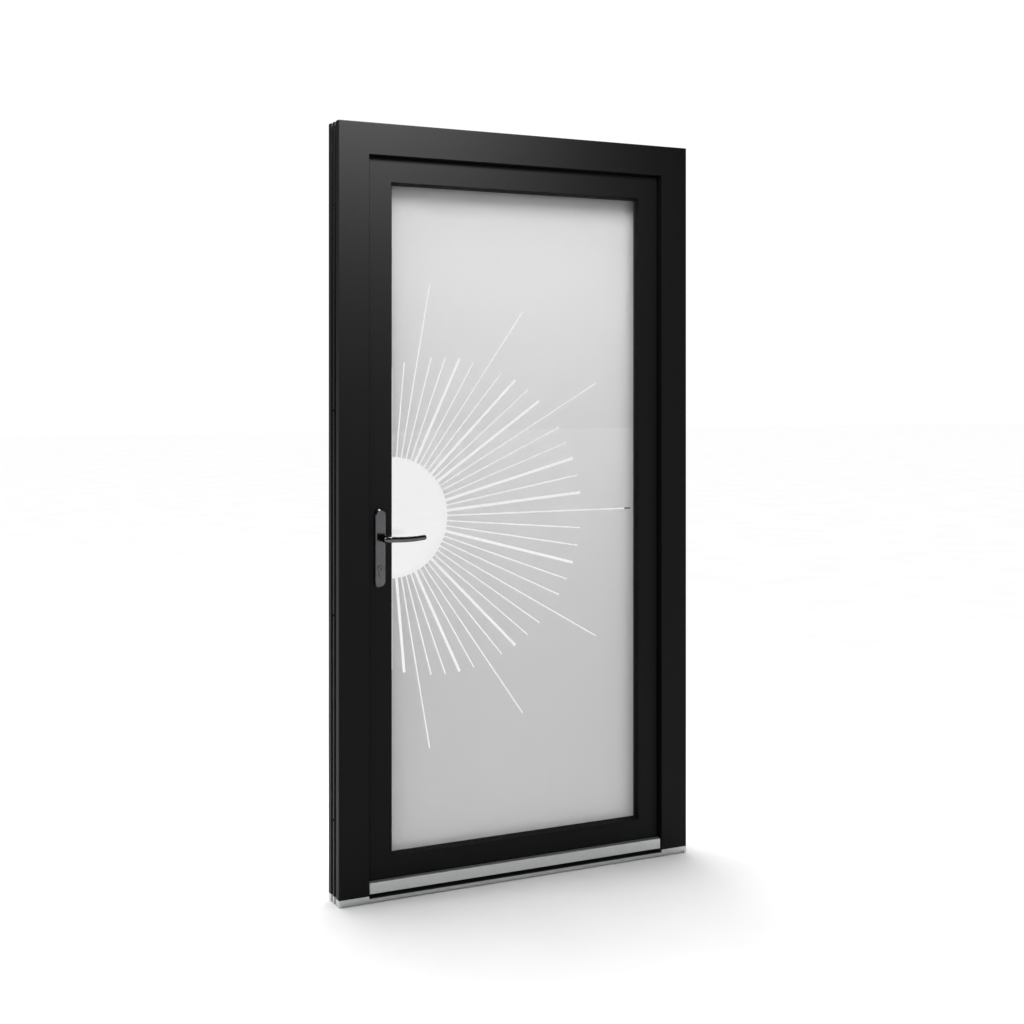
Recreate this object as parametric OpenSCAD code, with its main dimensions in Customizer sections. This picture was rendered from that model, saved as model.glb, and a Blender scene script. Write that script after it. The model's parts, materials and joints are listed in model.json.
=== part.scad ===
// Single glazed entrance door with its frame, opening inwards, hinges on the right seen from outside.
// X runs across the door, Y from the outside to the room, Z up from the underside of the threshold.
// u is a distance in from the frame's outer edge, v a depth in from the frame's outside face.

/* [Door size] */
// Width over the frame
frame_w = 1092; // [800:1:1350]
// Height over the frame, with the threshold
frame_h = 2100; // [1900:1:2550]
// Depth of the frame profile
frame_d = 82; // [76:1:100]
// Width of the frame's face, seen from outside
frame_face = 86; // [80:1:104]
// Height of the threshold
threshold_h = 20; // [20:1:26]

/* [Frame profile] */
// Thickness of the profile walls
wall = 3; // [2:0.1:4]
// Radius of the outer front edge
edge_r = 2.5; // [0.5:0.5:4]
// Depth of the stop that the leaf closes behind
stop_d = 30; // [26:1:36]
// How far the stop covers the rebate
stop_cover = 28; // [24:1:32]
// Depth of the front rib on the outer edge
front_rib_d = 23.7; // [20:0.1:26]
// Width of the two grooves in the outer edge
groove_w = 14.2; // [10:0.1:15]
// Width of the rib between the grooves
mid_rib_w = 10.7; // [9:0.1:13]
// Depth of the grooves
groove_depth = 5; // [3:0.5:7]
// Wall of the steel tubes
steel_t = 2; // [1.5:0.25:3]
// Radius of the frame fixing holes
fixing_r = 4; // [3:0.25:4.5]
// Distance between frame fixings
fixing_step = 550; // [400:10:600]
// Height of the lowest frame fixing
fixing_z = 225; // [150:5:250]

/* [Leaf profile] */
// Set-back of the leaf's face behind the frame's face
leaf_back_set = 17; // [12:1:20]
// Shadow gap between frame and leaf
leaf_gap = 6; // [4:0.5:9]
// Air between frame rebate and leaf edge
air_gap = 12; // [11:0.5:15]
// Overlap of the leaf's lip on the room side
lip_cover = 8; // [6:0.5:10]
// Thickness of that lip
lip_t = 12; // [10:0.5:15]
// Height of the lip's seal
lip_seal = 6; // [4:0.5:8]
// Width of the leaf's flat face
leaf_face = 63.5; // [55:0.5:80]
// Width of the bevel towards the glass
bevel_w = 5; // [3:0.5:8]
// Depth of the bevel
bevel_d = 14; // [10:0.5:16]
// Gap over the threshold
bottom_gap = 9; // [7:0.5:12]

/* [Glazing] */
// Thickness of each pane
pane_t = 6; // [4:1:8]
// Space between the panes
cavity = 18; // [12:1:20]
// Thickness of the glazing gaskets
glass_seal = 3; // [2:0.5:4]
// Gap between pane edge and leaf
glass_gap = 6; // [4:0.5:8]
// Width of the glass edge that the leaf covers
glass_cover = 17.5; // [14:0.5:20]

/* [Threshold and drip bar] */
// Height of the threshold's front lip above the floor
sill_lip_z = 8.6; // [6:0.1:10]
// Thickness of the front lip
sill_lip_t = 3.8; // [2:0.1:4]
// Height of the drip bar's face
drip_h = 29; // [24:1:36]
// Height of its lower edge over the threshold
drip_gap = 4; // [2:0.5:8]
// How far the drip bar stands out from the leaf
drip_out = 13; // [10:0.5:15]
// Gap between the drip bar's ends and the frame
drip_end = 3; // [2:0.5:6]

/* [Lock and handles] */
// Height of the lever's axis
lever_z = 980; // [900:1:1100]
// Distance of the lever's axis from the leaf's edge
backset = 51.4; // [50:0.1:56]
// Distance from lever to cylinder
cylinder_drop = 81; // [70:1:92]
// Width of the handle plates
plate_w = 30.5; // [28:0.5:36]
// Length of the handle plates
plate_len = 213; // [205:1:260]
// Thickness of the handle plates
plate_t = 11; // [8:0.5:14]
// Bevel round the handle plates
plate_bevel = 4; // [1:0.5:5]
// Distance of the plate's top from the lever axis
plate_up = 78.5; // [75:0.5:100]
// Length of the outside lever from its axis
lever_len = 114; // [95:1:140]
// Length of the inside lever, short enough to stay behind the leaf's upright
inside_lever_len = 86; // [80:1:140]
// Stand-off of the grip from the plate
lever_out = 52; // [36:1:60]
// Radius of the lever's neck
neck_r = 9.5; // [8:0.5:11]
// Height of the lever's grip
grip_h = 15; // [12:0.5:18]
// Depth of the lever's grip
grip_d = 12; // [9:0.5:14]
// Side of the square spindle
spindle_w = 8; // [7:0.5:9]
// Throw of the latch
latch_throw = 14; // [12:0.5:16]
// Throw of the bolts
bolt_throw = 20; // [18:0.5:22]
// Height of the lower lock box
low_lock_z = 340; // [250:5:450]
// Height of the upper lock box
high_lock_z = 1650; // [1450:5:1700]

/* [Hinges] */
// Height of the lowest hinge
hinge_low_z = 260; // [200:5:350]
// Distance of the top hinge from the frame's top
hinge_top_gap = 250; // [200:5:350]
// Height of a hinge
hinge_h = 100; // [90:1:120]
// Radius of a hinge barrel
barrel_r = 10; // [8:0.5:11]
// Radius of a hinge pin
pin_r = 5; // [4:0.25:6]
// Distance of the hinge axis from the lip's edge
hinge_side = 14; // [13:0.5:16]
// Distance of the hinge axis from the leaf's room face
hinge_out = 8; // [7:0.5:9]

/* [Hidden] */
$fn = 48;

// Clearance between pieces that only lie together, and between pieces that move past each other
slack = 0.1;
run = 0.3;
eps = 0.01;
big = 400;

// Places across the door, measured in from the frame's outer edge
u_rebate = frame_face - stop_cover;
u_edge = u_rebate + air_gap;
u_lip = u_rebate - lip_cover;
u_leaf = frame_face + leaf_gap;
u_face_in = u_leaf + leaf_face;
u_flange = u_face_in + bevel_w;
u_sight = u_flange + glass_seal;
u_pane = u_sight - glass_cover;
u_glaze = u_pane - glass_gap;

// Depths, measured from the frame's outside face
v_step = stop_d + 4;
v_lip = frame_d + lip_seal;
v_room = v_lip + lip_t;
v_flange = leaf_back_set + bevel_d;
v_pane = v_flange + glass_seal;
v_cavity = v_pane + pane_t;
v_inner = v_cavity + cavity;
v_glass_end = v_inner + pane_t;
v_bead = v_glass_end + glass_seal;
v_lock = (v_step + v_lip) / 2;

// Heights
z_lip = threshold_h + bottom_gap - (u_edge - u_lip);
z_low_edge = z_lip + u_edge - u_lip;
z_low_leaf = z_lip + u_leaf - u_lip;
z_low_pane = z_lip + u_pane - u_lip;
z_low_glaze = z_lip + u_glaze - u_lip;
z_cyl = lever_z - cylinder_drop;

// Grooves and chambers of the frame profile
v_mid_rib = front_rib_d + groove_w;
v_back_rib = v_mid_rib + mid_rib_w + groove_w;
frame_web = v_back_rib;
steel_fit = 0.5;
frame_steel_w = 38;

// Hardware groove, lock cases and strikers
groove_depth_lock = 3.2;
faceplate_w = 16;
faceplate_t = 3;
faceplate_z = [low_lock_z - 80, high_lock_z + 80];
u_groove = u_edge + groove_depth_lock;
case_t = 15;
case_wall = 1.5;
u_lever = u_edge + backset;
case_end = u_glaze - 1.5;
case_z = [z_cyl - 33, lever_z + 60];
box_end = u_edge + 40;
box_half = 60;
bolt_t = 14;
bolt_h = 30;
small_bolt_h = 24;
bolt_z = z_cyl + bolt_h;
latch_z = lever_z + 28;
latch_h = 24;
latch_t = 13;
striker_t = 3;
striker_w = 32;
striker_play = 1.2;
centre_striker_z = [bolt_z - 34, latch_z + 34];

// Euro profile cylinder
cyl_r = 8.5;
cyl_h = 33;
cyl_body_w = 10;
cyl_out = 2;
plug_r = 6.5;
cam_r = case_end - case_wall - u_lever - 0.6;
cam_half = 5;
cam_hub_r = 8;
cam_nose_r = 3;

// Handle plates
plate_z = lever_z + plate_up - plate_len / 2;
plate_screw_z = [lever_z + plate_up - 12.5, lever_z + plate_up - plate_len + 12.5];
plate_screw_r = 3;
v_out_plate = leaf_back_set - plate_t;
v_in_plate = v_room + plate_t;
neck_play = 0.5;

// Hinges
u_hinge = u_lip - hinge_side;
v_hinge = v_room + hinge_out;
hinge_zs = [hinge_low_z, (hinge_low_z + frame_h - hinge_top_gap) / 2, frame_h - hinge_top_gap];
hinge_plate_t = 5;
knuckle_h = 0.38 * hinge_h;
knuckle_gap = 0.5;
pin_play = 0.05;
hinge_screw_r = 2.5;
hinge_screw_zs = [-0.36, -0.12, 0.12, 0.36] * hinge_h;
u_hinge_screw = u_hinge - 20;
u_leaf_screw = u_edge + 14;

fixing_zs = [for (i = [0:3]) fixing_z + i * fixing_step];
head_fixings = [-1, 1] * (frame_w / 2 - 250);

// ---------- Helpers ----------

function X(u) = -frame_w / 2 + u;
function Y(v) = -frame_d / 2 + v;
function arc(c, r, a0, a1, n = 6) =
    [for (i = [0:n]) c + r * [cos(a0 + (a1 - a0) * i / n), sin(a0 + (a1 - a0) * i / n)]];

// A box given by its two limits along each axis, in u, v and z
module block(u, v, z) {
    translate([X(u[0]), Y(v[0]), z[0]]) cube([u[1] - u[0], v[1] - v[0], z[1] - z[0]]);
}

// A rectangle in a profile's plane
module rect(u, v) {
    translate([u[0], v[0]]) square([u[1] - u[0], v[1] - v[0]]);
}

// Moves to a place on the lock side, or on the hinge side as its mirror image
module at(u, v, z) translate([X(u), Y(v), z]) children();
module hinge_side_copy() mirror([1, 0, 0]) children();

// A round bar along the depth, from v[0] to v[1]
module bar_y(u, z, v, r) at(u, v[0], z) rotate([-90, 0, 0]) cylinder(r = r, h = v[1] - v[0]);

// A round bar across the door, from u[0] to u[1]
module bar_x(u, v, z, r) at(u[0], v, z) rotate([0, 90, 0]) cylinder(r = r, h = u[1] - u[0]);

module prism_xz(points) {
    translate([0, big / 2, 0]) rotate([90, 0, 0]) linear_extrude(big) polygon(points);
}

// One member of a mitred frame whose outer edge is the rectangle u0, z0, z1.
// The children are its section: x in from that edge, y the depth.
module member(which, u0, z0, z1, open_foot = false) {
    x0 = X(u0);
    reach = big / 2;
    foot = open_foot ? 0 : 1;
    if (which == "lock" || which == "hinge")
        mirror([which == "hinge" ? 1 : 0, 0, 0])
            intersection() {
                translate([x0, Y(0), z0]) linear_extrude(z1 - z0) children();
                prism_xz([[x0 - 1, z0 - foot], [x0 + reach, z0 + foot * reach],
                          [x0 + reach, z1 - reach], [x0 - 1, z1 + 1]]);
            }
    else
        translate([0, 0, which == "bottom" ? z0 + z1 : 0]) mirror([0, 0, which == "bottom" ? 1 : 0])
            intersection() {
                translate([x0, Y(0), z1]) rotate([0, 90, 0]) linear_extrude(-2 * x0) children();
                prism_xz([[x0 - 1, z1 + 1], [x0 + reach, z1 - reach],
                          [-x0 - reach, z1 - reach], [-x0 + 1, z1 + 1]]);
            }
}

module ring(u0, z0, z1) for (which = ["lock", "hinge", "top", "bottom"]) member(which, u0, z0, z1) children();
module leaf_ring() ring(u_lip, z_lip, frame_h - u_lip) translate([-u_lip, 0]) children();
module leaf_member(which) member(which, u_lip, z_lip, frame_h - u_lip) translate([-u_lip, 0]) children();

// ---------- Frame ----------

module outer_edge_outline(inner) {
    polygon(concat(
        arc([edge_r, edge_r], edge_r, 180, 270),
        inner,
        [[0, frame_d], [0, v_back_rib], [groove_depth, v_back_rib],
         [groove_depth, v_mid_rib + mid_rib_w], [0, v_mid_rib + mid_rib_w],
         [0, v_mid_rib], [groove_depth, v_mid_rib],
         [groove_depth, front_rib_d], [0, front_rib_d]]));
}

module frame_section() {
    bead_r = 1.2;
    difference() {
        outer_edge_outline(concat(
            arc([frame_face - bead_r, bead_r], bead_r, 270, 360),
            [[frame_face, stop_d], [u_rebate + 4, stop_d], [u_rebate, stop_d + 4], [u_rebate, frame_d]]));
        rect([wall, u_rebate - wall - 1], [wall, front_rib_d - wall]);
        rect([u_rebate - 1, frame_face - wall], [wall, stop_d - wall]);
        rect([groove_depth + wall, u_rebate - wall], [front_rib_d, frame_web]);
        rect([wall, u_rebate - wall], [frame_web + wall, frame_d - wall]);
    }
}

module striker_pockets(u, play) {
    bolt_pocket(u, latch_z, latch_h, latch_t, play);
    bolt_pocket(u, bolt_z, bolt_h, bolt_t, play);
    for (z = [low_lock_z, high_lock_z]) bolt_pocket(u, z, small_bolt_h, bolt_t, play);
}

module bolt_pocket(u, z, h, t, play) {
    block(u, [v_lock - t / 2 - play, v_lock + t / 2 + play], [z - h / 2 - play, z + h / 2 + play]);
}

striker_zs = [centre_striker_z, [low_lock_z - box_half, low_lock_z + box_half],
              [high_lock_z - box_half, high_lock_z + box_half]];
striker_screw_r = 2;
module at_striker_screws() for (s = striker_zs, z = [s[0] + 9, s[1] - 9]) translate([0, 0, z]) children();

// Holes for the frame fixings, through jambs and head
module fixing_holes() {
    v = v_mid_rib + mid_rib_w / 2;
    for (side = [0, 1], z = fixing_zs)
        mirror([side, 0, 0]) bar_x([-1, u_rebate + 1], v, z, fixing_r);
    for (x = head_fixings)
        translate([x, Y(v), frame_h - u_rebate - 1]) cylinder(r = fixing_r, h = u_rebate + 2);
}

module hinge_frame_screw_holes(play) {
    hinge_side_copy() for (h = hinge_zs, z = hinge_screw_zs)
        bar_y(u_hinge_screw, h + z, [frame_d - 27, frame_d + hinge_plate_t + 1], hinge_screw_r + play);
}

module outer_frame() {
    color("#1c1c1e") difference() {
        for (which = ["lock", "hinge", "top"])
            member(which, 0, threshold_h, frame_h, open_foot = true) frame_section();
        fixing_holes();
        striker_pockets([u_edge - bolt_throw - 1, u_rebate + 1], striker_play);
        at_striker_screws() bar_x([u_rebate - 12, u_rebate + 1], v_lock, 0, striker_screw_r + slack);
        hinge_frame_screw_holes(slack);
    }
}

module frame_steel_section() {
    u = [groove_depth + wall + steel_fit, groove_depth + wall + steel_fit + frame_steel_w];
    v = [front_rib_d + steel_fit, frame_web - steel_fit];
    difference() {
        rect(u, v);
        rect([u[0] + steel_t, u[1] - steel_t], [v[0] + steel_t, v[1] - steel_t]);
    }
}

module jamb_steel() {
    color("#a9adb0") difference() {
        translate([X(0), Y(0), threshold_h + 20]) linear_extrude(frame_h - frame_face - threshold_h - 20)
            frame_steel_section();
        fixing_holes();
        hinge_side_copy() hinge_frame_screw_holes(slack);
    }
}
module frame_steel_left() jamb_steel();
module frame_steel_right() hinge_side_copy() jamb_steel();
module frame_steel_head() {
    color("#a9adb0") difference() {
        translate([X(frame_face), Y(0), frame_h]) rotate([0, 90, 0])
            linear_extrude(frame_w - 2 * frame_face) frame_steel_section();
        fixing_holes();
    }
}

// Rubber seal between the stop and the leaf's step
module frame_seal() {
    color("#0b0b0c") for (which = ["lock", "hinge", "top"])
        member(which, 0, threshold_h, frame_h, open_foot = true)
            rect([u_edge + 3, frame_face - 2], [stop_d, v_step - run]);
}

// ---------- Threshold ----------

module extrude_across(u) {
    translate([X(u), 0, 0]) rotate([90, 0, 90]) linear_extrude(frame_w - 2 * u) children();
}
// Profiles across the door are drawn with x as depth and y as height
module sill_rect(v, z) translate([Y(v[0]), z[0]]) square([v[1] - v[0], z[1] - z[0]]);

sill_foot_t = 3;
sill_leg = [4, 7];
v_core = [27, frame_d / 2 + 14];
v_sill_foot = v_core[1] - 6;
v_ramp = leaf_back_set + 1;
sill_top_t = 3.2;
sill_lip_top = sill_lip_z + sill_lip_t;

module threshold_base() {
    color("#c9cccf") extrude_across(frame_face) {
        sill_rect([0, v_core[0]], [sill_lip_z, sill_lip_top]);
        sill_rect(sill_leg, [0, sill_lip_top]);
        sill_rect([sill_leg[0], v_sill_foot], [0, sill_foot_t]);
        sill_rect([v_core[0] - 3, v_core[0]], [0, sill_lip_top]);
    }
}

module threshold_core() {
    v0 = Y(1.5);
    z_under = threshold_h - sill_top_t;
    web = 2;
    color("#141415") extrude_across(frame_face) difference() {
        polygon([[v0, sill_lip_top], [Y(v_ramp - 1), threshold_h], [Y(v_ramp), threshold_h],
                 [Y(v_ramp), z_under], [Y(v_core[1]), z_under], [Y(v_core[1]), sill_foot_t],
                 [Y(v_core[0]), sill_foot_t], [Y(v_core[0]), sill_lip_top]]);
        sill_rect([v_core[0] + web, v_core[1] - web], [sill_foot_t + web, z_under - web]);
    }
}

module threshold_cap() {
    z_under = threshold_h - sill_top_t;
    color("#c9cccf") extrude_across(frame_face) {
        difference() {
            sill_rect([v_ramp, frame_d], [z_under, threshold_h]);
            for (i = [0:7])
                sill_rect([v_step + 4 + 5 * i, v_step + 5.5 + 5 * i], [threshold_h - 0.6, threshold_h + 1]);
        }
        sill_rect([frame_d - 3, frame_d], [0, threshold_h - 1]);
        sill_rect([v_core[1], frame_d], [0, sill_foot_t]);
        sill_rect([v_core[1], v_core[1] + 2], [0, z_under + 1]);
    }
}

end_block_post = 8.3;
module end_block() {
    color("#c9cccf") difference() {
        at(0, 0, 0) linear_extrude(threshold_h)
            outer_edge_outline([[frame_face, 0], [frame_face, frame_d]]);
        block([end_block_post, frame_face + 1], [-1, sill_leg[0]], [-1, sill_lip_z]);
    }
}
module end_block_left() end_block();
module end_block_right() hinge_side_copy() end_block();

// ---------- Strikers ----------

module striker(z) {
    u = [u_rebate, u_rebate + striker_t];
    color("#b9bcbe") difference() {
        block(u, [v_lock - striker_w / 2, min(v_lock + striker_w / 2, frame_d)], z);
        striker_pockets([u[0] - 1, u[1] + 1], striker_play);
        at_striker_screws() bar_x([u[0] - 1, u[1] + 1], v_lock, 0, striker_screw_r + slack);
    }
}
module centre_striker() striker(striker_zs[0]);
module lower_striker() striker(striker_zs[1]);
module upper_striker() striker(striker_zs[2]);
module striker_screws() {
    head = u_rebate + striker_t;
    color("#b9bcbe") at_striker_screws() {
        bar_x([u_rebate - 11, head], v_lock, 0, striker_screw_r);
        bar_x([head + eps, head + 1.5], v_lock, 0, 2 * striker_screw_r);
        bar_x([head - 1, head + 1], v_lock, 0, striker_screw_r);
    }
}

// ---------- Hinges ----------

module pin_bore(z) {
    translate([X(u_hinge), Y(v_hinge), z - hinge_h]) cylinder(r = pin_r + pin_play, h = 2 * hinge_h);
}

module hinge_frame(z) {
    half = hinge_h / 2;
    arm_w = 12;
    v_plate = frame_d + hinge_plate_t;
    color("#1c1c1e") hinge_side_copy() difference() {
        union() {
            block([u_hinge_screw - 10, u_lip - 4], [frame_d, v_plate], [z - half, z + half]);
            for (s = [[-half, -knuckle_h / 2 - knuckle_gap], [knuckle_h / 2 + knuckle_gap, half]]) {
                block([u_hinge - arm_w / 2, u_hinge + arm_w / 2], [v_plate - 1, v_hinge],
                      [z + s[0], z + s[1]]);
                translate([X(u_hinge), Y(v_hinge), z + s[0]]) cylinder(r = barrel_r, h = s[1] - s[0]);
            }
        }
        pin_bore(z);
        hinge_side_copy() hinge_frame_screw_holes(slack);
    }
}

module hinge_leaf_screw_holes(play) {
    hinge_side_copy() for (h = hinge_zs, z = hinge_screw_zs)
        bar_y(u_leaf_screw, h + z, [v_room - 28, v_room + hinge_plate_t + 1], hinge_screw_r + play);
}

module hinge_leaf(z) {
    half = hinge_h / 2;
    color("#1c1c1e") hinge_side_copy() difference() {
        union() {
            block([u_lip + 6, u_leaf_screw + 12], [v_room, v_room + hinge_plate_t], [z - half, z + half]);
            block([u_hinge, u_lip + 7], [v_room, v_hinge], [z - knuckle_h / 2, z + knuckle_h / 2]);
            translate([X(u_hinge), Y(v_hinge), z - knuckle_h / 2]) cylinder(r = barrel_r, h = knuckle_h);
        }
        pin_bore(z);
        hinge_side_copy() hinge_leaf_screw_holes(slack);
    }
}
module hinge_frame_lower() hinge_frame(hinge_zs[0]);
module hinge_frame_middle() hinge_frame(hinge_zs[1]);
module hinge_frame_upper() hinge_frame(hinge_zs[2]);
module hinge_leaf_lower() hinge_leaf(hinge_zs[0]);
module hinge_leaf_middle() hinge_leaf(hinge_zs[1]);
module hinge_leaf_upper() hinge_leaf(hinge_zs[2]);

pin_cap = 2;
module hinge_pins() {
    color("#b9bcbe") hinge_side_copy() for (z = hinge_zs)
        translate([X(u_hinge), Y(v_hinge), z - hinge_h / 2]) {
            cylinder(r = pin_r, h = hinge_h + 1);
            translate([0, 0, hinge_h + slack]) cylinder(r = barrel_r - 1, h = pin_cap);
        }
}

module pan_screw(u, z, v, r) {
    bar_y(u, z, v, r);
    bar_y(u, z, [v[1] + slack, v[1] + 2.2], 1.8 * r);
    bar_y(u, z, [v[1] - 1, v[1] + 1], r);
}
module hinge_frame_screws() {
    color("#1c1c1e") hinge_side_copy() for (h = hinge_zs, z = hinge_screw_zs)
        pan_screw(u_hinge_screw, h + z, [frame_d - 26, frame_d + hinge_plate_t], hinge_screw_r);
}
module hinge_leaf_screws() {
    color("#1c1c1e") hinge_side_copy() for (h = hinge_zs, z = hinge_screw_zs)
        pan_screw(u_leaf_screw, h + z, [v_room - 27, v_room + hinge_plate_t], hinge_screw_r);
}

// ---------- Leaf ----------

web_v = v_lip - lip_t;
leaf_chamber_u = u_groove + wall;
module leaf_section() {
    soft = 1.5;
    groove = faceplate_w / 2 + run;
    difference() {
        polygon(concat(
            arc([u_leaf + soft, leaf_back_set + soft], soft, 180, 270),
            [[u_face_in, leaf_back_set], [u_flange, v_flange], [u_glaze, v_flange], [u_glaze, v_room]],
            arc([u_lip + soft, v_room - soft], soft, 90, 180),
            [[u_lip, v_lip], [u_edge, v_lip], [u_edge, v_lock + groove], [u_groove, v_lock + groove],
             [u_groove, v_lock - groove], [u_edge, v_lock - groove], [u_edge, v_step], [u_leaf, v_step]]));
        rect([u_leaf + wall, u_glaze - wall], [leaf_back_set + wall, v_step]);
        rect([u_glaze, u_face_in - wall], [leaf_back_set + wall, v_flange - wall]);
        rect([leaf_chamber_u, u_glaze - wall], [v_step + wall, web_v]);
        rect([u_edge + wall, u_glaze - wall], [web_v + wall, v_room - wall]);
        rect([u_lip + wall, u_edge], [v_lip + wall, v_room - wall]);
    }
}

module case_pocket(u1, z, play) {
    block([u_groove - 1, u1 + play], [v_lock - case_t / 2 - play, v_lock + case_t / 2 + play],
          [z[0] - play, z[1] + play]);
}

// Everything that the lock, the handles and the hinges need cut out of the leaf
module leaf_cuts() {
    case_pocket(case_end, case_z, 0.5);
    for (z = [low_lock_z, high_lock_z]) case_pocket(box_end, [z - box_half + 10, z + box_half - 10], 0.5);
    bar_y(u_lever, lever_z, [0, v_room + 1], neck_r + 1);
    euro_profile([0, v_room + 1], slack * 5);
    for (z = plate_screw_z) bar_y(u_lever, z, [0, v_room + 1], plate_screw_r + 0.4);
    hinge_leaf_screw_holes(slack);
    for (z = faceplate_screw_zs) bar_x([u_edge - 1, u_edge + 18], v_lock, z, faceplate_screw_r + slack);
}

module leaf_frame() {
    color("#1c1c1e") difference() {
        leaf_ring() leaf_section();
        leaf_cuts();
    }
}

module leaf_steel_section() {
    u = [leaf_chamber_u + steel_fit, u_glaze - wall - steel_fit];
    v = [v_step + wall + steel_fit, web_v - steel_fit];
    difference() {
        rect(u, v);
        rect([u[0] + steel_t, u[1] - steel_t], [v[0] + steel_t, v[1] - steel_t]);
    }
}
module leaf_steel_upright() {
    color("#a9adb0") difference() {
        translate([X(0), Y(0), z_low_glaze])
            linear_extrude(frame_h - u_glaze - z_low_glaze) leaf_steel_section();
        children();
    }
}
module leaf_steel_lock() leaf_steel_upright() leaf_cuts();
module leaf_steel_hinge() hinge_side_copy() leaf_steel_upright() hinge_side_copy() leaf_cuts();
module leaf_steel_across() {
    color("#a9adb0") translate([X(u_glaze), Y(0), 0]) rotate([0, 90, 0])
        linear_extrude(frame_w - 2 * u_glaze) leaf_steel_section();
}
module leaf_steel_top() translate([0, 0, frame_h]) leaf_steel_across();
module leaf_steel_bottom() translate([0, 0, z_lip - u_lip]) mirror([0, 0, 1]) leaf_steel_across();

// Rubber seal on the lip, against the frame's room face
module leaf_seal() {
    color("#0b0b0c") leaf_ring() rect([u_lip + 1, u_rebate - 1.5], [frame_d + run, v_lip]);
}

// ---------- Glazing ----------

module pane(v) block([u_pane, frame_w - u_pane], [v, v + pane_t], [z_low_pane, frame_h - u_pane]);
module outer_pane() color("#c3c8cc", 0.6) pane(v_pane);
module inner_pane() color("#c3c8cc", 0.6) pane(v_inner);
spacer_inset = 3;
spacer_w = 12;
module pane_spacer() {
    color("#161617") leaf_ring()
        rect([u_pane + spacer_inset, u_pane + spacer_inset + spacer_w], [v_cavity, v_inner]);
}

block_len = 100;
module setting_blocks() {
    color("#2d5fa8") {
        for (x = [-1, 1] * (frame_w / 2 - u_pane - block_len))
            translate([x - block_len / 2, Y(v_pane), z_low_glaze])
                cube([block_len, v_glass_end - v_pane, glass_gap]);
        for (side = [0, 1], z = [z_low_pane + block_len, frame_h - u_pane - 2 * block_len])
            mirror([side, 0, 0]) block([u_glaze, u_pane], [v_pane, v_glass_end], [z, z + block_len]);
    }
}

module outer_glass_seal() {
    color("#0b0b0c") leaf_ring()
        polygon([[u_pane + 1, v_flange], [u_flange, v_flange], [u_sight, v_flange + 1.5],
                 [u_sight, v_pane], [u_pane + 1, v_pane]]);
}
module inner_glass_seal() {
    color("#0b0b0c") leaf_ring() rect([u_pane + 1, u_sight], [v_glass_end, v_bead]);
}

bead_lip = 5;
bead_t = 2.5;
module bead_section() {
    module outline(t) {
        polygon([[u_glaze + t, v_room - t], [u_sight - bead_lip - t / 2, v_room - t],
                 [u_sight - t, v_room - 2.2 * bead_lip], [u_sight - t, v_bead + t],
                 [u_pane + 1 + t, v_bead + t], [u_pane + 1 + t, v_bead + bead_lip + t],
                 [u_glaze + t, v_bead + bead_lip + t]]);
    }
    difference() {
        outline(0);
        outline(bead_t);
    }
}
module bead_lock_side() color("#1c1c1e") leaf_member("lock") bead_section();
module bead_hinge_side() color("#1c1c1e") leaf_member("hinge") bead_section();
module bead_top() color("#1c1c1e") leaf_member("top") bead_section();
module bead_bottom() color("#1c1c1e") leaf_member("bottom") bead_section();

// ---------- Drip bar and bottom seals ----------

drip_t = 2;
drip_z = [threshold_h + drip_gap, threshold_h + drip_gap + drip_h];
drip_fall = 2;
v_drip = leaf_back_set - drip_out;
u_drip = frame_face + drip_end;
module drip_bar() {
    z = drip_z;
    nose = 0.7;
    z_back = z[1] + drip_fall;
    color("#c4c7ca") extrude_across(u_drip)
        polygon([[Y(v_drip), z[0]], [Y(v_drip), z[1] - nose], [Y(v_drip) + nose, z[1]],
                 [Y(leaf_back_set), z_back], [Y(leaf_back_set), z[0] + 8],
                 [Y(leaf_back_set) - drip_t, z[0] + 8], [Y(leaf_back_set) - drip_t, z_back - 1.2 * drip_t],
                 [Y(v_drip) + drip_t, z[1] - drip_t], [Y(v_drip) + drip_t, z[0]]]);
}

brush_w = 4;
brush_vs = [leaf_back_set + 2, v_step - 2 - brush_w];
module bottom_carrier() {
    z = [z_low_edge, z_low_leaf];
    color("#141415") extrude_across(u_drip) difference() {
        sill_rect([leaf_back_set, v_step], z);
        sill_rect([leaf_back_set + 2, v_step - 2], [z[0] + 6, z[1] - 2]);
        for (v = brush_vs) sill_rect([v, v + brush_w], [z[0] - 1, z[0] + 3]);
    }
}
module brush_seals() {
    color("#0b0b0c") extrude_across(u_drip) for (v = brush_vs)
        sill_rect([v + slack, v + brush_w - slack], [threshold_h + run, z_low_edge + 3]);
}

// ---------- Lock ----------

faceplate_screw_r = 1.8;
faceplate_screw_zs = [faceplate_z[0] + 12, low_lock_z + box_half + 20, case_z[0] - 22, case_z[1] + 22,
                      high_lock_z - box_half - 20, faceplate_z[1] - 12];
module faceplate() {
    u = [u_groove - faceplate_t - slack, u_groove - slack];
    color("#b9bcbe") difference() {
        block(u, [v_lock - faceplate_w / 2, v_lock + faceplate_w / 2], faceplate_z);
        bolt_shapes([u[0] - 1, u[1] + 1], run);
        for (z = faceplate_screw_zs) bar_x([u[0] - 1, u[1] + 1], v_lock, z, faceplate_screw_r + slack);
    }
}
module faceplate_screws() {
    head = u_edge;
    color("#b9bcbe") for (z = faceplate_screw_zs) {
        bar_x([head - 1, head + 17], v_lock, z, faceplate_screw_r);
        bar_x([head - 1.4, head - slack], v_lock, z, 2 * faceplate_screw_r);
    }
}

module bolt_shapes(u, play) {
    bolt_pocket(u, latch_z, latch_h, latch_t - 2 * (1 - play), play);
    bolt_pocket(u, bolt_z, bolt_h, bolt_t - 2, play);
    for (z = [low_lock_z, high_lock_z]) bolt_pocket(u, z, small_bolt_h, bolt_t - 2, play);
}

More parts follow.
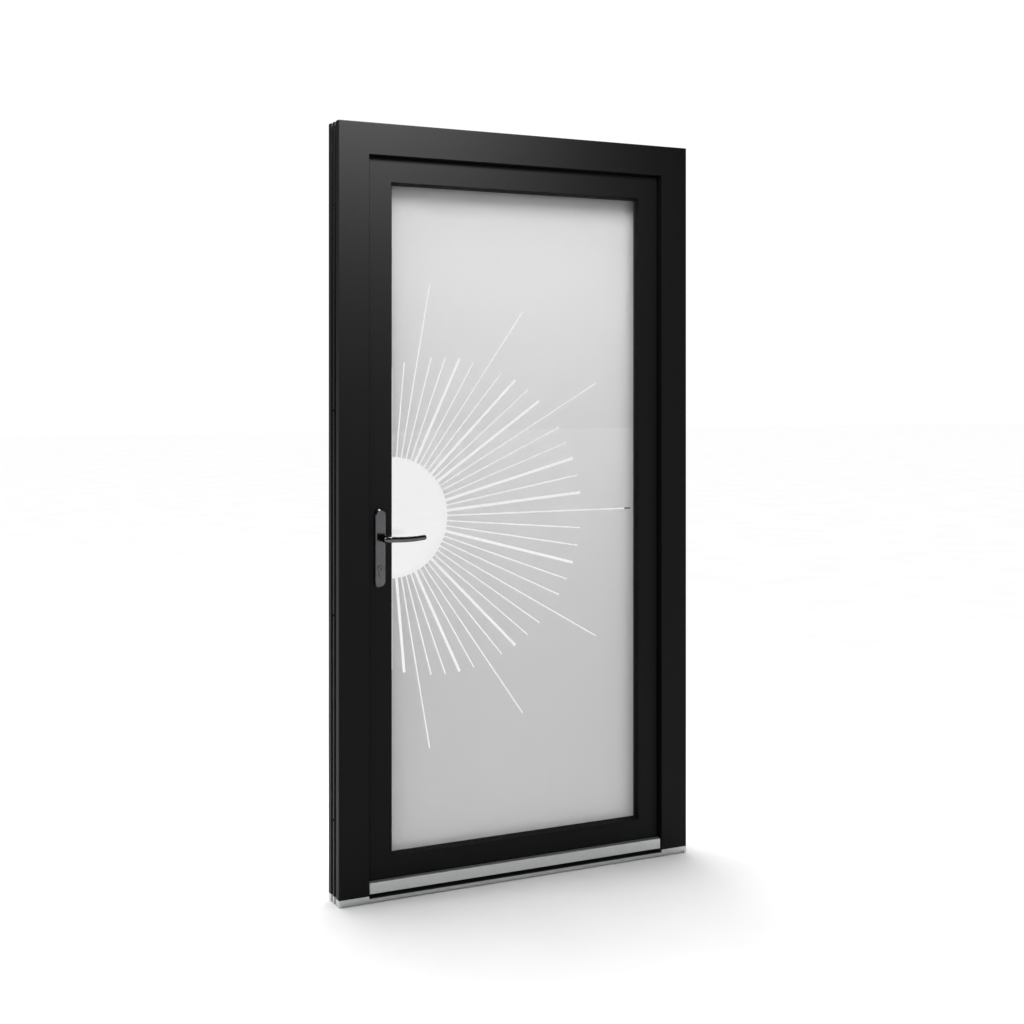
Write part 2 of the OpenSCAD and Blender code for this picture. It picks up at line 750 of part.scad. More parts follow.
// A steel box with an open edge towards the faceplate
module lock_box(u1, z) {
    v = [v_lock - case_t / 2, v_lock + case_t / 2];
    difference() {
        block([u_groove, u1], v, z);
        block([u_groove - 1, u1 - case_wall], v + [case_wall, -case_wall], z + [case_wall, -case_wall]);
    }
}
module lock_case() {
    color("#8f9396") difference() {
        lock_box(case_end, case_z);
        bar_y(u_lever, lever_z, [v_lock - case_t, v_lock + case_t], follower_r + run);
        euro_profile([v_lock - case_t, v_lock + case_t], slack * 2);
    }
}
module small_lock_box(z) color("#8f9396") lock_box(box_end, [z - box_half + 10, z + box_half - 10]);
module lower_lock_box() small_lock_box(low_lock_z);
module upper_lock_box() small_lock_box(high_lock_z);

// A sprung latch with its bevel on the outside, so that it rides over the striker as the door closes
latch_tail = 30;
inner_t = case_t - 2 * case_wall - 2 * run;
module latch_bolt() {
    u = [u_edge - latch_throw, u_edge + latch_tail];
    half = inner_t / 2;
    color("#c4c7ca") difference() {
        block(u, [v_lock - half, v_lock + half], [latch_z - latch_h / 2, latch_z + latch_h / 2]);
        translate([0, 0, latch_z - latch_h]) linear_extrude(2 * latch_h)
            polygon([[X(u[0]) - 1, Y(v_lock - half) - 1], [X(u_edge - 1), Y(v_lock - half) - 1],
                     [X(u_edge - 1), Y(v_lock - half)], [X(u[0]), Y(v_lock + half - 2)],
                     [X(u[0]) - 1, Y(v_lock + half - 2)]]);
    }
}
module bolt(z, h, tail) {
    half = inner_t / 2;
    color("#c4c7ca")
        block([u_edge + 1, u_edge + tail], [v_lock - half, v_lock + half], [z - h / 2, z + h / 2]);
}
module deadbolt() bolt(bolt_z, bolt_h, 36);
module secondary_bolts() for (z = [low_lock_z, high_lock_z]) bolt(z, small_bolt_h, 33);

follower_r = 9;
spindle_play = 0.05;
module square_hole(v) {
    half = spindle_w / 2 + spindle_play;
    block([u_lever - half, u_lever + half], v, [lever_z - half, lever_z + half]);
}
module lock_follower() {
    color("#8f9396") difference() {
        bar_y(u_lever, lever_z, [v_lock - case_t / 2 + slack, v_lock + case_t / 2 - slack], follower_r);
        square_hole([0, v_room]);
    }
}
spindle_end = 26;
module spindle() {
    half = spindle_w / 2;
    color("#8f9396") block([u_lever - half, u_lever + half],
        [v_out_plate - spindle_end, v_in_plate + spindle_end], [lever_z - half, lever_z + half]);
}

// ---------- Cylinder ----------

module euro_profile(v, play) {
    bar_y(u_lever, z_cyl, v, cyl_r + play);
    half = cyl_body_w / 2;
    low = z_cyl + cyl_r - cyl_h;
    block([u_lever - half - play, u_lever + half + play], v, [low + half - play, z_cyl]);
    bar_y(u_lever, low + half, v, half + play);
}
module cylinder_body() {
    v = [v_out_plate - cyl_out, v_in_plate + cyl_out];
    color("#c4c7ca") difference() {
        euro_profile(v, 0);
        bar_y(u_lever, z_cyl, v + [-1, 1], plug_r + pin_play);
        block([u_lever - 20, u_lever + 20], [v_lock - cam_half - run, v_lock + cam_half + run],
              [z_cyl - cam_r - 1, z_cyl + 20]);
    }
}
module cylinder_plug() {
    v0 = v_out_plate - cyl_out - 0.6;
    color("#b9bcbe") difference() {
        bar_y(u_lever, z_cyl, [v0, v_lock - cam_half - run], plug_r);
        block([u_lever - 1.1, u_lever + 1.1], [v0 - 1, v0 + 12], [z_cyl - 4.6, z_cyl + 3.6]);
    }
}
knob_w = 30;
knob_out = 20;
module thumb_turn() {
    v_end = v_in_plate + cyl_out;
    v_cam = [v_lock - cam_half, v_lock + cam_half];
    z_nose = z_cyl + cam_r - cam_nose_r;
    color("#b9bcbe") {
        bar_y(u_lever, z_cyl, [v_lock + cam_half - 0.5, v_end + 3], plug_r);
        bar_y(u_lever, z_cyl, v_cam, cam_hub_r);
        bar_y(u_lever, z_nose, v_cam, cam_nose_r);
        block([u_lever - cam_nose_r, u_lever + cam_nose_r], v_cam, [z_cyl, z_nose]);
        bar_y(u_lever, z_cyl, [v_end + 1, v_end + 5], cyl_r);
        block([u_lever - knob_w / 2 + 3, u_lever + knob_w / 2 - 3], [v_end + 4, v_end + knob_out],
              [z_cyl - 3, z_cyl + 3]);
        for (s = [-1, 1]) bar_y(u_lever + s * (knob_w / 2 - 3), z_cyl, [v_end + 4, v_end + knob_out], 3);
    }
}

// ---------- Handle plates and levers ----------

// A long plate with round ends and a bevel; it grows from its back face at y = 0 to y = plate_t
module bevelled_plate() {
    r = plate_w / 2;
    span = plate_len / 2 - r;
    step = plate_t - plate_bevel;
    for (s = [-1, 1]) translate([0, 0, s * span]) rotate([-90, 0, 0]) {
        cylinder(r = r, h = step);
        translate([0, 0, step]) cylinder(r1 = r, r2 = r - plate_bevel, h = plate_bevel, $fn = 96);
    }
    translate([0, 0, -span]) linear_extrude(2 * span)
        polygon([[-r, 0], [-r, step], [-r + plate_bevel, plate_t],
                 [r - plate_bevel, plate_t], [r, step], [r, 0]]);
}

module outside_plate() {
    color("#3a3b3d") difference() {
        at(u_lever, leaf_back_set, plate_z) mirror([0, 1, 0]) bevelled_plate();
        bar_y(u_lever, lever_z, [0, leaf_back_set + 1], neck_r + neck_play);
        euro_profile([0, leaf_back_set + 1], slack * 2);
        for (z = plate_screw_z)
            bar_y(u_lever, z, [v_out_plate + 2.5, leaf_back_set + 1], plate_screw_r + slack);
    }
}
module inside_plate() {
    color("#3a3b3d") difference() {
        at(u_lever, v_room, plate_z) bevelled_plate();
        bar_y(u_lever, lever_z, [v_room - 1, v_in_plate + 1], neck_r + neck_play);
        euro_profile([v_room - 1, v_in_plate + 1], slack * 2);
        for (z = plate_screw_z) {
            bar_y(u_lever, z, [v_room - 1, v_in_plate + 1], plate_screw_r + slack);
            bar_y(u_lever, z, [v_in_plate - 3, v_in_plate + 1], 5.5 + slack);
        }
    }
}
module plate_screws() {
    color("#b9bcbe") for (z = plate_screw_z) {
        bar_y(u_lever, z, [v_out_plate + 3, v_in_plate - 2], plate_screw_r);
        bar_y(u_lever, z, [v_in_plate - 3 + slack, v_in_plate - 0.5], 5.5);
    }
}

// A lever: a round neck, a round corner and a grip with round edges, growing from its plate along +Y
module lever(tip) {
    corner = 10;
    y_grip = lever_out + plate_t - 2;
    neck_len = y_grip - corner;
    rotate([-90, 0, 0]) cylinder(r = neck_r, h = neck_len + 2);
    hull() {
        translate([0, neck_len, 0]) rotate([-90, 0, 0]) cylinder(r = neck_r, h = 1);
        translate([-neck_r + 4, y_grip, 0]) grip_slice(grip_h);
        translate([neck_r, y_grip, 0]) grip_slice(grip_h);
    }
    hull() {
        translate([neck_r - 2, y_grip, 0]) grip_slice(grip_h);
        translate([0.6 * tip, y_grip - 1.5, 0]) grip_slice(grip_h - 1);
    }
    hull() {
        translate([0.6 * tip, y_grip - 1.5, 0]) grip_slice(grip_h - 1);
        translate([tip - grip_h / 2, y_grip - 4, 0]) grip_slice(grip_h - 1.5);
        translate([tip - grip_h / 2, y_grip - 4, 0]) rotate([90, 0, 0])
            cylinder(r = grip_h / 2 - 1.2, h = grip_d - 3, center = true);
    }
}
module grip_slice(h) {
    r = 4;
    rotate([0, 90, 0]) linear_extrude(1, center = true)
        offset(r = r, $fn = 24) square([h - 2 * r, grip_d - 2 * r], center = true);
}

module outside_lever() {
    color("#2b2c2e") difference() {
        at(u_lever, leaf_back_set - 2, lever_z) mirror([0, 1, 0]) lever(lever_len);
        square_hole([v_out_plate - spindle_end - 1, leaf_back_set]);
    }
}
module inside_lever() {
    color("#2b2c2e") difference() {
        at(u_lever, v_room + 2, lever_z) lever(inside_lever_len);
        square_hole([v_room, v_in_plate + spindle_end + 1]);
    }
}

// ---------- Nodes ----------

outer_frame();
frame_steel_left();
frame_steel_right();
frame_steel_head();
frame_seal();
threshold_base();
threshold_core();
threshold_cap();
end_block_left();
end_block_right();
centre_striker();
upper_striker();
lower_striker();
striker_screws();
hinge_frame_lower();
hinge_frame_middle();
hinge_frame_upper();
hinge_pins();
hinge_frame_screws();
leaf_frame();
leaf_steel_lock();
leaf_steel_hinge();
leaf_steel_top();
leaf_steel_bottom();
leaf_seal();
outer_pane();
pane_spacer();
inner_pane();
setting_blocks();
outer_glass_seal();
inner_glass_seal();
bead_lock_side();
bead_hinge_side();
bead_top();
bead_bottom();
drip_bar();
bottom_carrier();
brush_seals();
faceplate();
faceplate_screws();
lock_case();
upper_lock_box();
lower_lock_box();
cylinder_body();
outside_plate();
inside_plate();
plate_screws();
hinge_leaf_lower();
hinge_leaf_middle();
hinge_leaf_upper();
hinge_leaf_screws();
outside_lever();
inside_lever();
spindle();
lock_follower();
latch_bolt();
cylinder_plug();
thumb_turn();
deadbolt();
secondary_bolts();
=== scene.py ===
"""Looks of the glazed entrance door: finishes, satined glass with its sunburst, levers, studio and camera."""
import json
import math

import bmesh
import bpy
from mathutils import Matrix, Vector
from mathutils.geometry import delaunay_2d_cdt


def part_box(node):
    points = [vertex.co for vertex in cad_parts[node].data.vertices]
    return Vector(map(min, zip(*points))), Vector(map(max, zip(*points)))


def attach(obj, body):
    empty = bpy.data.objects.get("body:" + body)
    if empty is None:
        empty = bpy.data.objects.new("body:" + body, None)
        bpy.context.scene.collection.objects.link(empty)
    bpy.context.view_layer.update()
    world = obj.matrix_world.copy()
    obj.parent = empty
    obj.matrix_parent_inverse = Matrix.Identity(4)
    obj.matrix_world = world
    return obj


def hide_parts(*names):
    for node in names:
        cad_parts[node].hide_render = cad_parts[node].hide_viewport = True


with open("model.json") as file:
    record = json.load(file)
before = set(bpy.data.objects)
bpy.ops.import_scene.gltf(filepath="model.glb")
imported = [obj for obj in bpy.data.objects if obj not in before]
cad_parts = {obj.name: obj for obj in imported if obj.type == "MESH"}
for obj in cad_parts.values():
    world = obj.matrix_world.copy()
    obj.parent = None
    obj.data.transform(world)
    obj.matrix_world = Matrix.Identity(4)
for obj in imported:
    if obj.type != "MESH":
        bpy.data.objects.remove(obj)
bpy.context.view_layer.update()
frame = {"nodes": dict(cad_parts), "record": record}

MM = 0.001
NODES = frame["nodes"]

# ---------- Small helpers ----------


def linear(hex_colour):
    """An sRGB hex colour as the linear RGBA that a shader takes."""
    parts = [int(hex_colour[i:i + 2], 16) / 255 for i in (1, 3, 5)]
    return [c / 12.92 if c <= 0.04045 else ((c + 0.055) / 1.055) ** 2.4 for c in parts] + [1.0]


def add(tree, kind, links=None, values=None, **settings):
    """Adds one node: settings are its properties, values fill its sockets, and links join outputs to them."""
    node = tree.nodes.new(kind)
    for name, value in settings.items():
        setattr(node, name, value)
    for socket, value in (values or {}).items():
        node.inputs[socket].default_value = value
    for socket, output in (links or {}).items():
        tree.links.new(output, node.inputs[socket])
    return node


def new_material(name):
    """An empty material: its tree and its Principled shader, already joined to the output."""
    material = bpy.data.materials.new(name)
    material.use_nodes = True
    tree = material.node_tree
    tree.nodes.clear()
    shader = add(tree, "ShaderNodeBsdfPrincipled")
    add(tree, "ShaderNodeOutputMaterial", {"Surface": shader.outputs["BSDF"]})
    return material, tree, shader


def pattern(tree, size_mm, detail=2.0, stretch=(1, 1, 1)):
    """Noise in the object's own space, with features size_mm across; a small stretch draws them out."""
    place = add(tree, "ShaderNodeTexCoord")
    drawn = add(tree, "ShaderNodeMapping", {"Vector": place.outputs["Object"]}, {"Scale": stretch})
    grain = add(tree, "ShaderNodeTexNoise", {"Vector": drawn.outputs["Vector"]},
                {"Scale": 1000 / size_mm, "Detail": detail})
    return grain.outputs["Fac"]


def mottle(tree, shader, value, dark, pale, smooth, rough):
    """Lets a pattern run the colour from dark to pale, and the roughness from smooth to rough."""
    share = add(tree, "ShaderNodeMapRange", {"Value": value}, {"From Min": 0.3, "From Max": 0.7})
    colour = add(tree, "ShaderNodeMix", {"Factor": share.outputs["Result"]},
                 {"A": linear(dark), "B": linear(pale)}, data_type="RGBA")
    gloss = add(tree, "ShaderNodeMapRange", {"Value": value},
                {"From Min": 0.3, "From Max": 0.7, "To Min": smooth, "To Max": rough})
    tree.links.new(colour.outputs["Result"], shader.inputs["Base Color"])
    tree.links.new(gloss.outputs["Result"], shader.inputs["Roughness"])


def emboss(tree, shader, value, depth_mm, edge_mm):
    """Raises a pattern by depth_mm on a surface whose edges are softened over edge_mm."""
    soft = add(tree, "ShaderNodeBevel", values={"Radius": edge_mm * MM}, samples=4)
    relief = add(tree, "ShaderNodeBump", {"Height": value, "Normal": soft.outputs["Normal"]},
                 {"Distance": depth_mm * MM})
    tree.links.new(relief.outputs["Normal"], shader.inputs["Normal"])


# ---------- Materials ----------


def grained_upvc_foil():
    """Black laminated uPVC: extruded, wrapped in a matt foil whose fine emboss breaks up every highlight."""
    material, tree, shader = new_material("grained_upvc_foil")
    grain = pattern(tree, 1.6, detail=3.0)
    mottle(tree, shader, grain, "#111112", "#151516", 0.44, 0.56)
    shader.inputs["Specular IOR Level"].default_value = 0.12
    emboss(tree, shader, grain, 0.06, 0.7)
    return material


def epdm_rubber():
    """Glazing rubber: extruded, dull black with a soft sheen along its lip."""
    material, tree, shader = new_material("epdm_rubber")
    cloud = pattern(tree, 12)
    mottle(tree, shader, cloud, "#0b0b0c", "#121213", 0.55, 0.7)
    shader.inputs["Specular IOR Level"].default_value = 0.35
    return material


def nylon_pile():
    """Brush pile: cut fibres that stand upright and take hardly any light."""
    material, tree, shader = new_material("nylon_pile")
    fibres = pattern(tree, 1.2, stretch=(1, 1, 0.08))
    mottle(tree, shader, fibres, "#080808", "#161617", 0.85, 0.95)
    shader.inputs["Sheen Weight"].default_value = 0.2
    emboss(tree, shader, fibres, 0.4, 0.2)
    return material


def glass_filled_polyamide():
    """Thermal break and end blocks: moulded, matt black with a faint mottle."""
    material, tree, shader = new_material("glass_filled_polyamide")
    cloud = pattern(tree, 6)
    mottle(tree, shader, cloud, "#101011", "#171718", 0.5, 0.65)
    emboss(tree, shader, cloud, 0.04, 0.4)
    return material


def brushed_metal(name, dark, pale, rough, stretch, edge_mm=0.4):
    """Satin metal: long fine brush lines, which draw each highlight out across them."""
    material, tree, shader = new_material(name)
    lines = pattern(tree, 0.5, detail=3.0, stretch=stretch)
    mottle(tree, shader, lines, dark, pale, rough - 0.04, rough + 0.04)
    shader.inputs["Metallic"].default_value = 1.0
    emboss(tree, shader, lines, 0.012, edge_mm)
    return material


def black_powder_coat():
    """Hinge paint: baked satin black, with a fine orange peel under its gloss."""
    material, tree, shader = new_material("black_powder_coat")
    peel = pattern(tree, 1.8)
    mottle(tree, shader, peel, "#141415", "#1a1a1b", 0.32, 0.42)
    emboss(tree, shader, peel, 0.03, 0.6)
    return material


def galvanised_steel():
    """Reinforcement: hot-dipped dull zinc, whose crystals show as a grey spangle."""
    material, tree, shader = new_material("galvanised_steel")
    spangle = pattern(tree, 7, detail=0.0)
    mottle(tree, shader, spangle, "#8b8f93", "#a7abad", 0.35, 0.5)
    shader.inputs["Metallic"].default_value = 1.0
    return material


def moulded_polypropylene():
    """Setting blocks: moulded in the glazier's blue, with a waxy sheen."""
    material, tree, shader = new_material("moulded_polypropylene")
    mottle(tree, shader, pattern(tree, 10), "#24528f", "#2f66ab", 0.4, 0.5)
    return material


def clear_float_glass():
    """Clear pane: drawn flat and smooth, with only the faint mirror of its own surface."""
    material, _, shader = new_material("clear_float_glass")
    shader.inputs["Base Color"].default_value = linear("#f7f7f7")
    shader.inputs["Transmission Weight"].default_value = 1.0
    shader.inputs["IOR"].default_value = 1.45
    shader.inputs["Roughness"].default_value = 0.0
    return material


def satined_float_glass():
    """Acid-etched pane: fine pits blur what lies behind to grey and glow where light falls on them."""
    material = bpy.data.materials.new("satined_float_glass")
    material.use_nodes = True
    tree = material.node_tree
    tree.nodes.clear()
    etched = add(tree, "ShaderNodeBsdfPrincipled", values={
        "Base Color": linear("#6e6f6f"), "Transmission Weight": 1.0, "IOR": 1.45})
    pits = add(tree, "ShaderNodeMapRange", {"Value": pattern(tree, 3)}, {"To Min": 0.58, "To Max": 0.66})
    tree.links.new(pits.outputs["Result"], etched.inputs["Roughness"])
    glow = add(tree, "ShaderNodeBsdfTranslucent", values={"Color": linear("#c2c2c2")})
    both = add(tree, "ShaderNodeMixShader", values={"Fac": GLOW_SHARE})
    tree.links.new(etched.outputs["BSDF"], both.inputs[1])
    tree.links.new(glow.outputs["BSDF"], both.inputs[2])
    add(tree, "ShaderNodeOutputMaterial", {"Surface": both.outputs["Shader"]})
    return material


def dark_chrome():
    """Plates and levers: chrome over buffed zinc, a dark mirror with bright rims."""
    material, tree, shader = new_material("dark_chrome")
    cloud = pattern(tree, 25)
    mottle(tree, shader, cloud, "#58585a", "#626264", 0.12, 0.16)
    shader.inputs["Metallic"].default_value = 1.0
    emboss(tree, shader, cloud, 0.004, 0.3)
    return material


GLOW_SHARE = 0.65
LINES_ACROSS = (0.01, 1, 1)
LINES_UPRIGHT = (1, 1, 0.01)
FOIL = grained_upvc_foil()
CLEAR = clear_float_glass()
SATIN_GLASS = satined_float_glass()
DARK_CHROME = dark_chrome()

BY_SLOT = {
    "black_profile": FOIL,
    "galvanised_steel": galvanised_steel(),
    "seal_rubber": epdm_rubber(),
    "brush_pile": nylon_pile(),
    "black_plastic": glass_filled_polyamide(),
    "aluminium": brushed_metal("anodised_aluminium", "#c8cacb", "#d6d8d8", 0.42, LINES_ACROSS),
    "black_hardware": black_powder_coat(),
    "pane_glass": CLEAR,
    "block_plastic": moulded_polypropylene(),
    "bright_steel": brushed_metal("satin_stainless", "#9b9da0", "#b8babc", 0.28, LINES_UPRIGHT),
    "polished_handle": DARK_CHROME,
}


LOCK_NODES = ("cylinder_body", "cylinder_plug")
NICKEL = brushed_metal("satin_nickel", "#5c5c5e", "#6e6e70", 0.24, LINES_ACROSS)


def dress_cad_nodes():
    """Gives every CAD node the finish of its slot, and the lock cylinder its darker nickel."""
    for part in frame["record"]["subparts"]:
        node = NODES[part["node"]]
        finish = NICKEL if part["node"] in LOCK_NODES else BY_SLOT[part["material_slot"]]
        node.data.materials.clear()
        node.data.materials.append(finish)


# ---------- Outer pane with the sunburst left clear in its satined face ----------

RAY_COUNT = 37
RAY_STEP = math.radians(5)
THIN_RAY = 3.8 * MM
THICK_RAY = 8.0 * MM
THICK_RAYS = (5, 9, 11, 15, 17, 21, 27, 31, 35)
LONG_RAYS = (2, 7, 12, 18, 24, 29, 34)
DISC_R = 166 * MM
# The rays end on circles whose centres lie to the right of the disc's
SHORT_REACH = (150 * MM, 440 * MM)
LONG_REACH = (115 * MM, 641 * MM)


def reach(angle, circle):
    """How far a ray at this angle runs before it meets the circle (offset, radius)."""
    offset, radius = circle
    return offset * math.cos(angle) + math.sqrt(radius ** 2 - (offset * math.sin(angle)) ** 2)


def ray_outline(index):
    """The four corners of one ray, from inside the disc to its outer end."""
    angle = math.pi / 2 - index * RAY_STEP
    along = Vector((math.cos(angle), math.sin(angle)))
    side = Vector((-along.y, along.x)) * (THICK_RAY if index in THICK_RAYS else THIN_RAY) / 2
    end = reach(angle, LONG_REACH if index in LONG_RAYS else SHORT_REACH)
    start = DISC_R * 0.97
    return [along * start - side, along * end - side, along * end + side, along * start + side]


def disc_outline(steps=72):
    """The half disc, whose straight side is hidden behind the leaf's edge."""
    arc = [Vector((DISC_R * math.cos(a), DISC_R * math.sin(a)))
           for a in (math.pi / 2 - math.pi * i / steps for i in range(steps + 1))]
    return arc + [Vector((-10 * MM, -DISC_R)), Vector((-10 * MM, DISC_R))]


def inside(point, outline):
    """Whether a point lies in a closed outline."""
    crossed = False
    for a, b in zip(outline, outline[1:] + outline[:1]):
        if (a.y > point.y) != (b.y > point.y):
            if point.x < a.x + (point.y - a.y) / (b.y - a.y) * (b.x - a.x):
                crossed = not crossed
    return crossed


def sunburst_pane():
    """The outer pane as one closed sheet, whose inner face is satined except where the sunburst is clear."""
    low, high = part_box("outer_pane")
    centre = Vector((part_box("outer_frame")[0].x + 165 * MM, 1031 * MM))
    shapes = [disc_outline()] + [ray_outline(i) for i in range(RAY_COUNT)]
    outlines = [[centre + p for p in shape] for shape in shapes]
    corners = ((low.x, low.z), (high.x, low.z), (high.x, high.z), (low.x, high.z))
    sheet = [Vector(corner) for corner in corners]
    points, edges = [], []
    for outline in [sheet] + outlines:
        clipped = [Vector((min(max(p.x, low.x), high.x), p.y)) for p in outline]
        first = len(points)
        points += clipped
        edges += [(first + i, first + (i + 1) % len(clipped)) for i in range(len(clipped))]
    verts, _, faces, _, _, _ = delaunay_2d_cdt(points, edges, [], 1, 1e-7)
    mesh = bmesh.new()
    back = [mesh.verts.new((v.x, high.y, v.y)) for v in verts]
    for face in faces:
        made = mesh.faces.new([back[i] for i in face])
        middle = sum((verts[i] for i in face), Vector((0, 0))) / len(face)
        made.material_index = 0 if any(inside(middle, o) for o in outlines) else 1
    rim = bmesh.ops.extrude_face_region(mesh, geom=mesh.faces[:])
    fronts = [g for g in rim["geom"] if isinstance(g, bmesh.types.BMFace)]
    for face in fronts:
        face.material_index = 0
    bmesh.ops.translate(mesh, vec=(0, low.y - high.y, 0),
                        verts=[g for g in rim["geom"] if isinstance(g, bmesh.types.BMVert)])
    bmesh.ops.recalc_face_normals(mesh, faces=mesh.faces[:])
    data = bpy.data.meshes.new("sunburst_pane")
    mesh.to_mesh(data)
    mesh.free()
    pane = bpy.data.objects.new("sunburst_pane", data)
    bpy.context.scene.collection.objects.link(pane)
    data.materials.append(CLEAR)
    data.materials.append(SATIN_GLASS)
    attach(pane, "leaf")
    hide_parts("outer_pane")


# ---------- Levers ----------

NECK_R = 9.5 * MM
BEND_R = 15 * MM
GRIP_HALF_HIGH = 7.8 * MM
GRIP_HALF_DEEP = 6 * MM
GRIP_TAPER = 0.8 * MM
GRIP_SAG = 2.0 * MM
TIP_TURN = 2.5 * MM
GRIP_POWER = 2.8
RING = 40


def section(centre, along, half_deep, half_high, power):
    """A ring square to the level direction along; power 2 is an ellipse, and more squares its corners."""
    side = Vector((-along.y, along.x, 0))
    ring = []
    for i in range(RING):
        turn = 2 * math.pi * i / RING
        across, up = math.cos(turn), math.sin(turn)
        across = math.copysign(abs(across) ** (2 / power), across) * half_deep
        up = math.copysign(abs(up) ** (2 / power), up) * half_high
        ring.append(centre + side * across + Vector((0, 0, up)))
    return ring


def lever_rings(low, high, out):
    """Rings from the plate along a round neck, round a soft corner and along a bowed grip to its tip."""
    root = Vector((low.x + NECK_R, high.y if out < 0 else low.y, (low.z + high.z) / 2))
    stand = high.y - low.y - GRIP_HALF_DEEP
    span = high.x - root.x
    rings = []
    for i in range(4):
        centre = root + Vector((0, out * (stand - BEND_R) * i / 4, 0))
        rings.append(section(centre, Vector((0, out, 0)), NECK_R, NECK_R, 2))
    for i in range(13):
        t = i / 12
        a = math.pi / 2 * t
        centre = root + Vector((BEND_R * (1 - math.cos(a)), out * (stand - BEND_R * (1 - math.sin(a))), 0))
        along = Vector((math.sin(a), out * math.cos(a), 0))
        deep = NECK_R + (GRIP_HALF_DEEP - NECK_R) * t
        tall = NECK_R + (GRIP_HALF_HIGH - NECK_R) * t
        rings.append(section(centre, along, deep, tall, 2 + (GRIP_POWER - 2) * t))
    run = span - BEND_R - GRIP_HALF_HIGH
    for i in range(1, 17):
        t = i / 16
        lift = GRIP_SAG * (t * t - 0.7 * math.sin(math.pi * t))
        centre = root + Vector((BEND_R + run * t, out * (stand - TIP_TURN * t * t), lift))
        taper = GRIP_TAPER * t
        rings.append(section(centre, Vector((1, 0, 0)), GRIP_HALF_DEEP - taper, GRIP_HALF_HIGH - taper,
                             GRIP_POWER))
    for i in range(1, 9):
        a = math.radians(10.5 * i)
        past_grip = BEND_R + run + GRIP_HALF_HIGH * math.sin(a)
        centre = root + Vector((past_grip, out * (stand - TIP_TURN), GRIP_SAG))
        shrink = math.cos(a)
        rings.append(section(centre, Vector((1, 0, 0)), (GRIP_HALF_DEEP - GRIP_TAPER) * shrink,
                             (GRIP_HALF_HIGH - GRIP_TAPER) * shrink, GRIP_POWER))
    return rings


def bowed_lever(name, node, out):
    """One lever in place of its CAD node; out is -1 on the outside of the door and 1 in the room."""
    mesh = bmesh.new()
    rows = [[mesh.verts.new(p) for p in ring] for ring in lever_rings(*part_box(node), out)]
    for first, second in zip(rows, rows[1:]):
        for i in range(RING):
            j = (i + 1) % RING
            mesh.faces.new((first[i], first[j], second[j], second[i])).smooth = True
    mesh.faces.new(rows[0][::-1])
    mesh.faces.new(rows[-1]).smooth = True
    bmesh.ops.recalc_face_normals(mesh, faces=mesh.faces[:])
    data = bpy.data.meshes.new(name)
    mesh.to_mesh(data)
    mesh.free()
    data.materials.append(DARK_CHROME)
    piece = bpy.data.objects.new(name, data)
    bpy.context.scene.collection.objects.link(piece)
    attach(piece, "handle")
    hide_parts(node)


# ---------- Studio ----------

FRAME_LOW, FRAME_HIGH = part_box("outer_frame")
CAMERA_FROM_CORNER = Vector((-1338, -3768, 1388)) * MM
CAMERA_TURN = math.radians(26.16)
LENS_MM = 52.5
HORIZON_SHIFT = -0.122
CEILING_STRENGTH = 3.36
CEILING_WIDTH = math.radians(42)
CEILING_TILT = math.radians(-7)
WORLD_AS_SEEN = 1.03
WORLD_AS_LIGHT = 0.06
FLOOR_HALF = 40


def make_camera():
    """A level camera; its shift drops the door in the picture as a view camera's rising back does."""
    data = bpy.data.cameras.new("camera")
    data.lens = LENS_MM
    data.sensor_width = 36
    data.shift_y = HORIZON_SHIFT
    camera = bpy.data.objects.new("camera", data)
    camera.location = (FRAME_LOW.x + CAMERA_FROM_CORNER.x, FRAME_LOW.y + CAMERA_FROM_CORNER.y,
                       CAMERA_FROM_CORNER.z)
    camera.rotation_euler = (math.pi / 2, 0, -CAMERA_TURN)
    bpy.context.scene.collection.objects.link(camera)
    bpy.context.scene.camera = camera


def softbox(name, place, target, size, watts, spread):
    """An area light that faces its target, with a grid that keeps its beam within spread degrees."""
    data = bpy.data.lights.new(name, "AREA")
    data.shape = "RECTANGLE"
    data.size, data.size_y = size
    data.energy = watts
    data.spread = math.radians(spread)
    light = bpy.data.objects.new(name, data)
    light.location = place
    light.rotation_euler = (Vector(target) - Vector(place)).to_track_quat("-Z", "Y").to_euler()
    bpy.context.scene.collection.objects.link(light)


def make_ceiling_light():
    """A wide even light from above and a little behind, so that the door's soft shadow falls in front."""
    data = bpy.data.lights.new("ceiling", "SUN")
    data.angle = CEILING_WIDTH
    data.energy = CEILING_STRENGTH
    light = bpy.data.objects.new("ceiling", data)
    light.rotation_euler = (CEILING_TILT, 0, 0)
    bpy.context.scene.collection.objects.link(light)


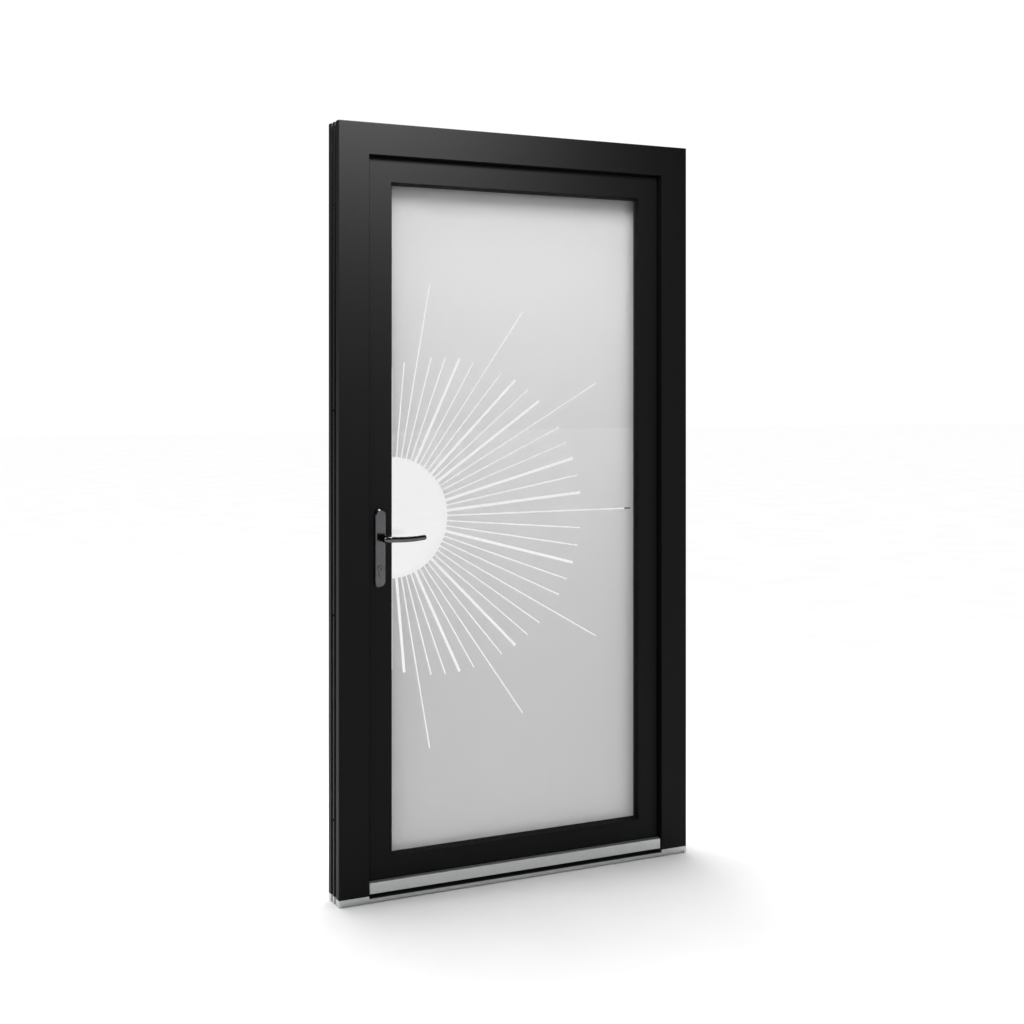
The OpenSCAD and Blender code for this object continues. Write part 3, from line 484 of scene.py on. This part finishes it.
def make_floor():
    """A wide floor, painted matt white."""
    material, tree, shader = new_material("white_floor_paint")
    mottle(tree, shader, pattern(tree, 400), "#f4f4f4", "#f7f7f7", 0.75, 0.85)
    shader.inputs["Specular IOR Level"].default_value = 0.1
    corners = [(x * FLOOR_HALF, y * FLOOR_HALF, 0) for x, y in ((-1, -1), (1, -1), (1, 1), (-1, 1))]
    data = bpy.data.meshes.new("floor")
    data.from_pydata(corners, [], [(0, 1, 2, 3)])
    data.materials.append(material)
    floor = bpy.data.objects.new("floor", data)
    bpy.context.scene.collection.objects.link(floor)


def make_world():
    """A white studio: it is white where it is looked at, also through glass, and dim as a light."""
    world = bpy.data.worlds.new("studio")
    world.use_nodes = True
    tree = world.node_tree
    tree.nodes.clear()
    rays = add(tree, "ShaderNodeLightPath")
    seen = add(tree, "ShaderNodeMath",
               {0: rays.outputs["Is Camera Ray"], 1: rays.outputs["Is Transmission Ray"]}, operation="MAXIMUM")
    level = add(tree, "ShaderNodeMapRange", {"Value": seen.outputs["Value"]},
                {"To Min": WORLD_AS_LIGHT, "To Max": WORLD_AS_SEEN})
    back = add(tree, "ShaderNodeBackground", {"Strength": level.outputs["Result"]}, {"Color": (1, 1, 1, 1)})
    add(tree, "ShaderNodeOutputWorld", {"Surface": back.outputs["Background"]})
    bpy.context.scene.world = world


def make_studio():
    """Camera, floor, white surroundings, and the lamps that shape the dark frame."""
    make_camera()
    make_floor()
    make_world()
    make_ceiling_light()
    left, front, top = FRAME_LOW.x, FRAME_LOW.y, FRAME_HIGH.z
    softbox("key", place=(left + 0.1, front - 0.8, top + 0.6), target=(left + 0.15, front, top - 0.05),
            size=(1.0, 0.3), watts=14, spread=65)
    softbox("side", place=(left - 1.6, front + 0.3, top), target=(left, front + 0.05, top / 2),
            size=(0.5, 1.2), watts=2, spread=70)
    softbox("back", place=(0.1, 1.3, top + 0.9), target=(0, 0, top - 0.5),
            size=(1.6, 0.8), watts=14, spread=120)
    bpy.context.scene.view_settings.view_transform = "Standard"


dress_cad_nodes()
# The satined pane alone shades: both together would take the daylight twice
NODES["inner_pane"].visible_shadow = False
sunburst_pane()
bowed_lever("outside_lever_bowed", "outside_lever", -1)
bowed_lever("inside_lever_bowed", "inside_lever", 1)
make_studio()
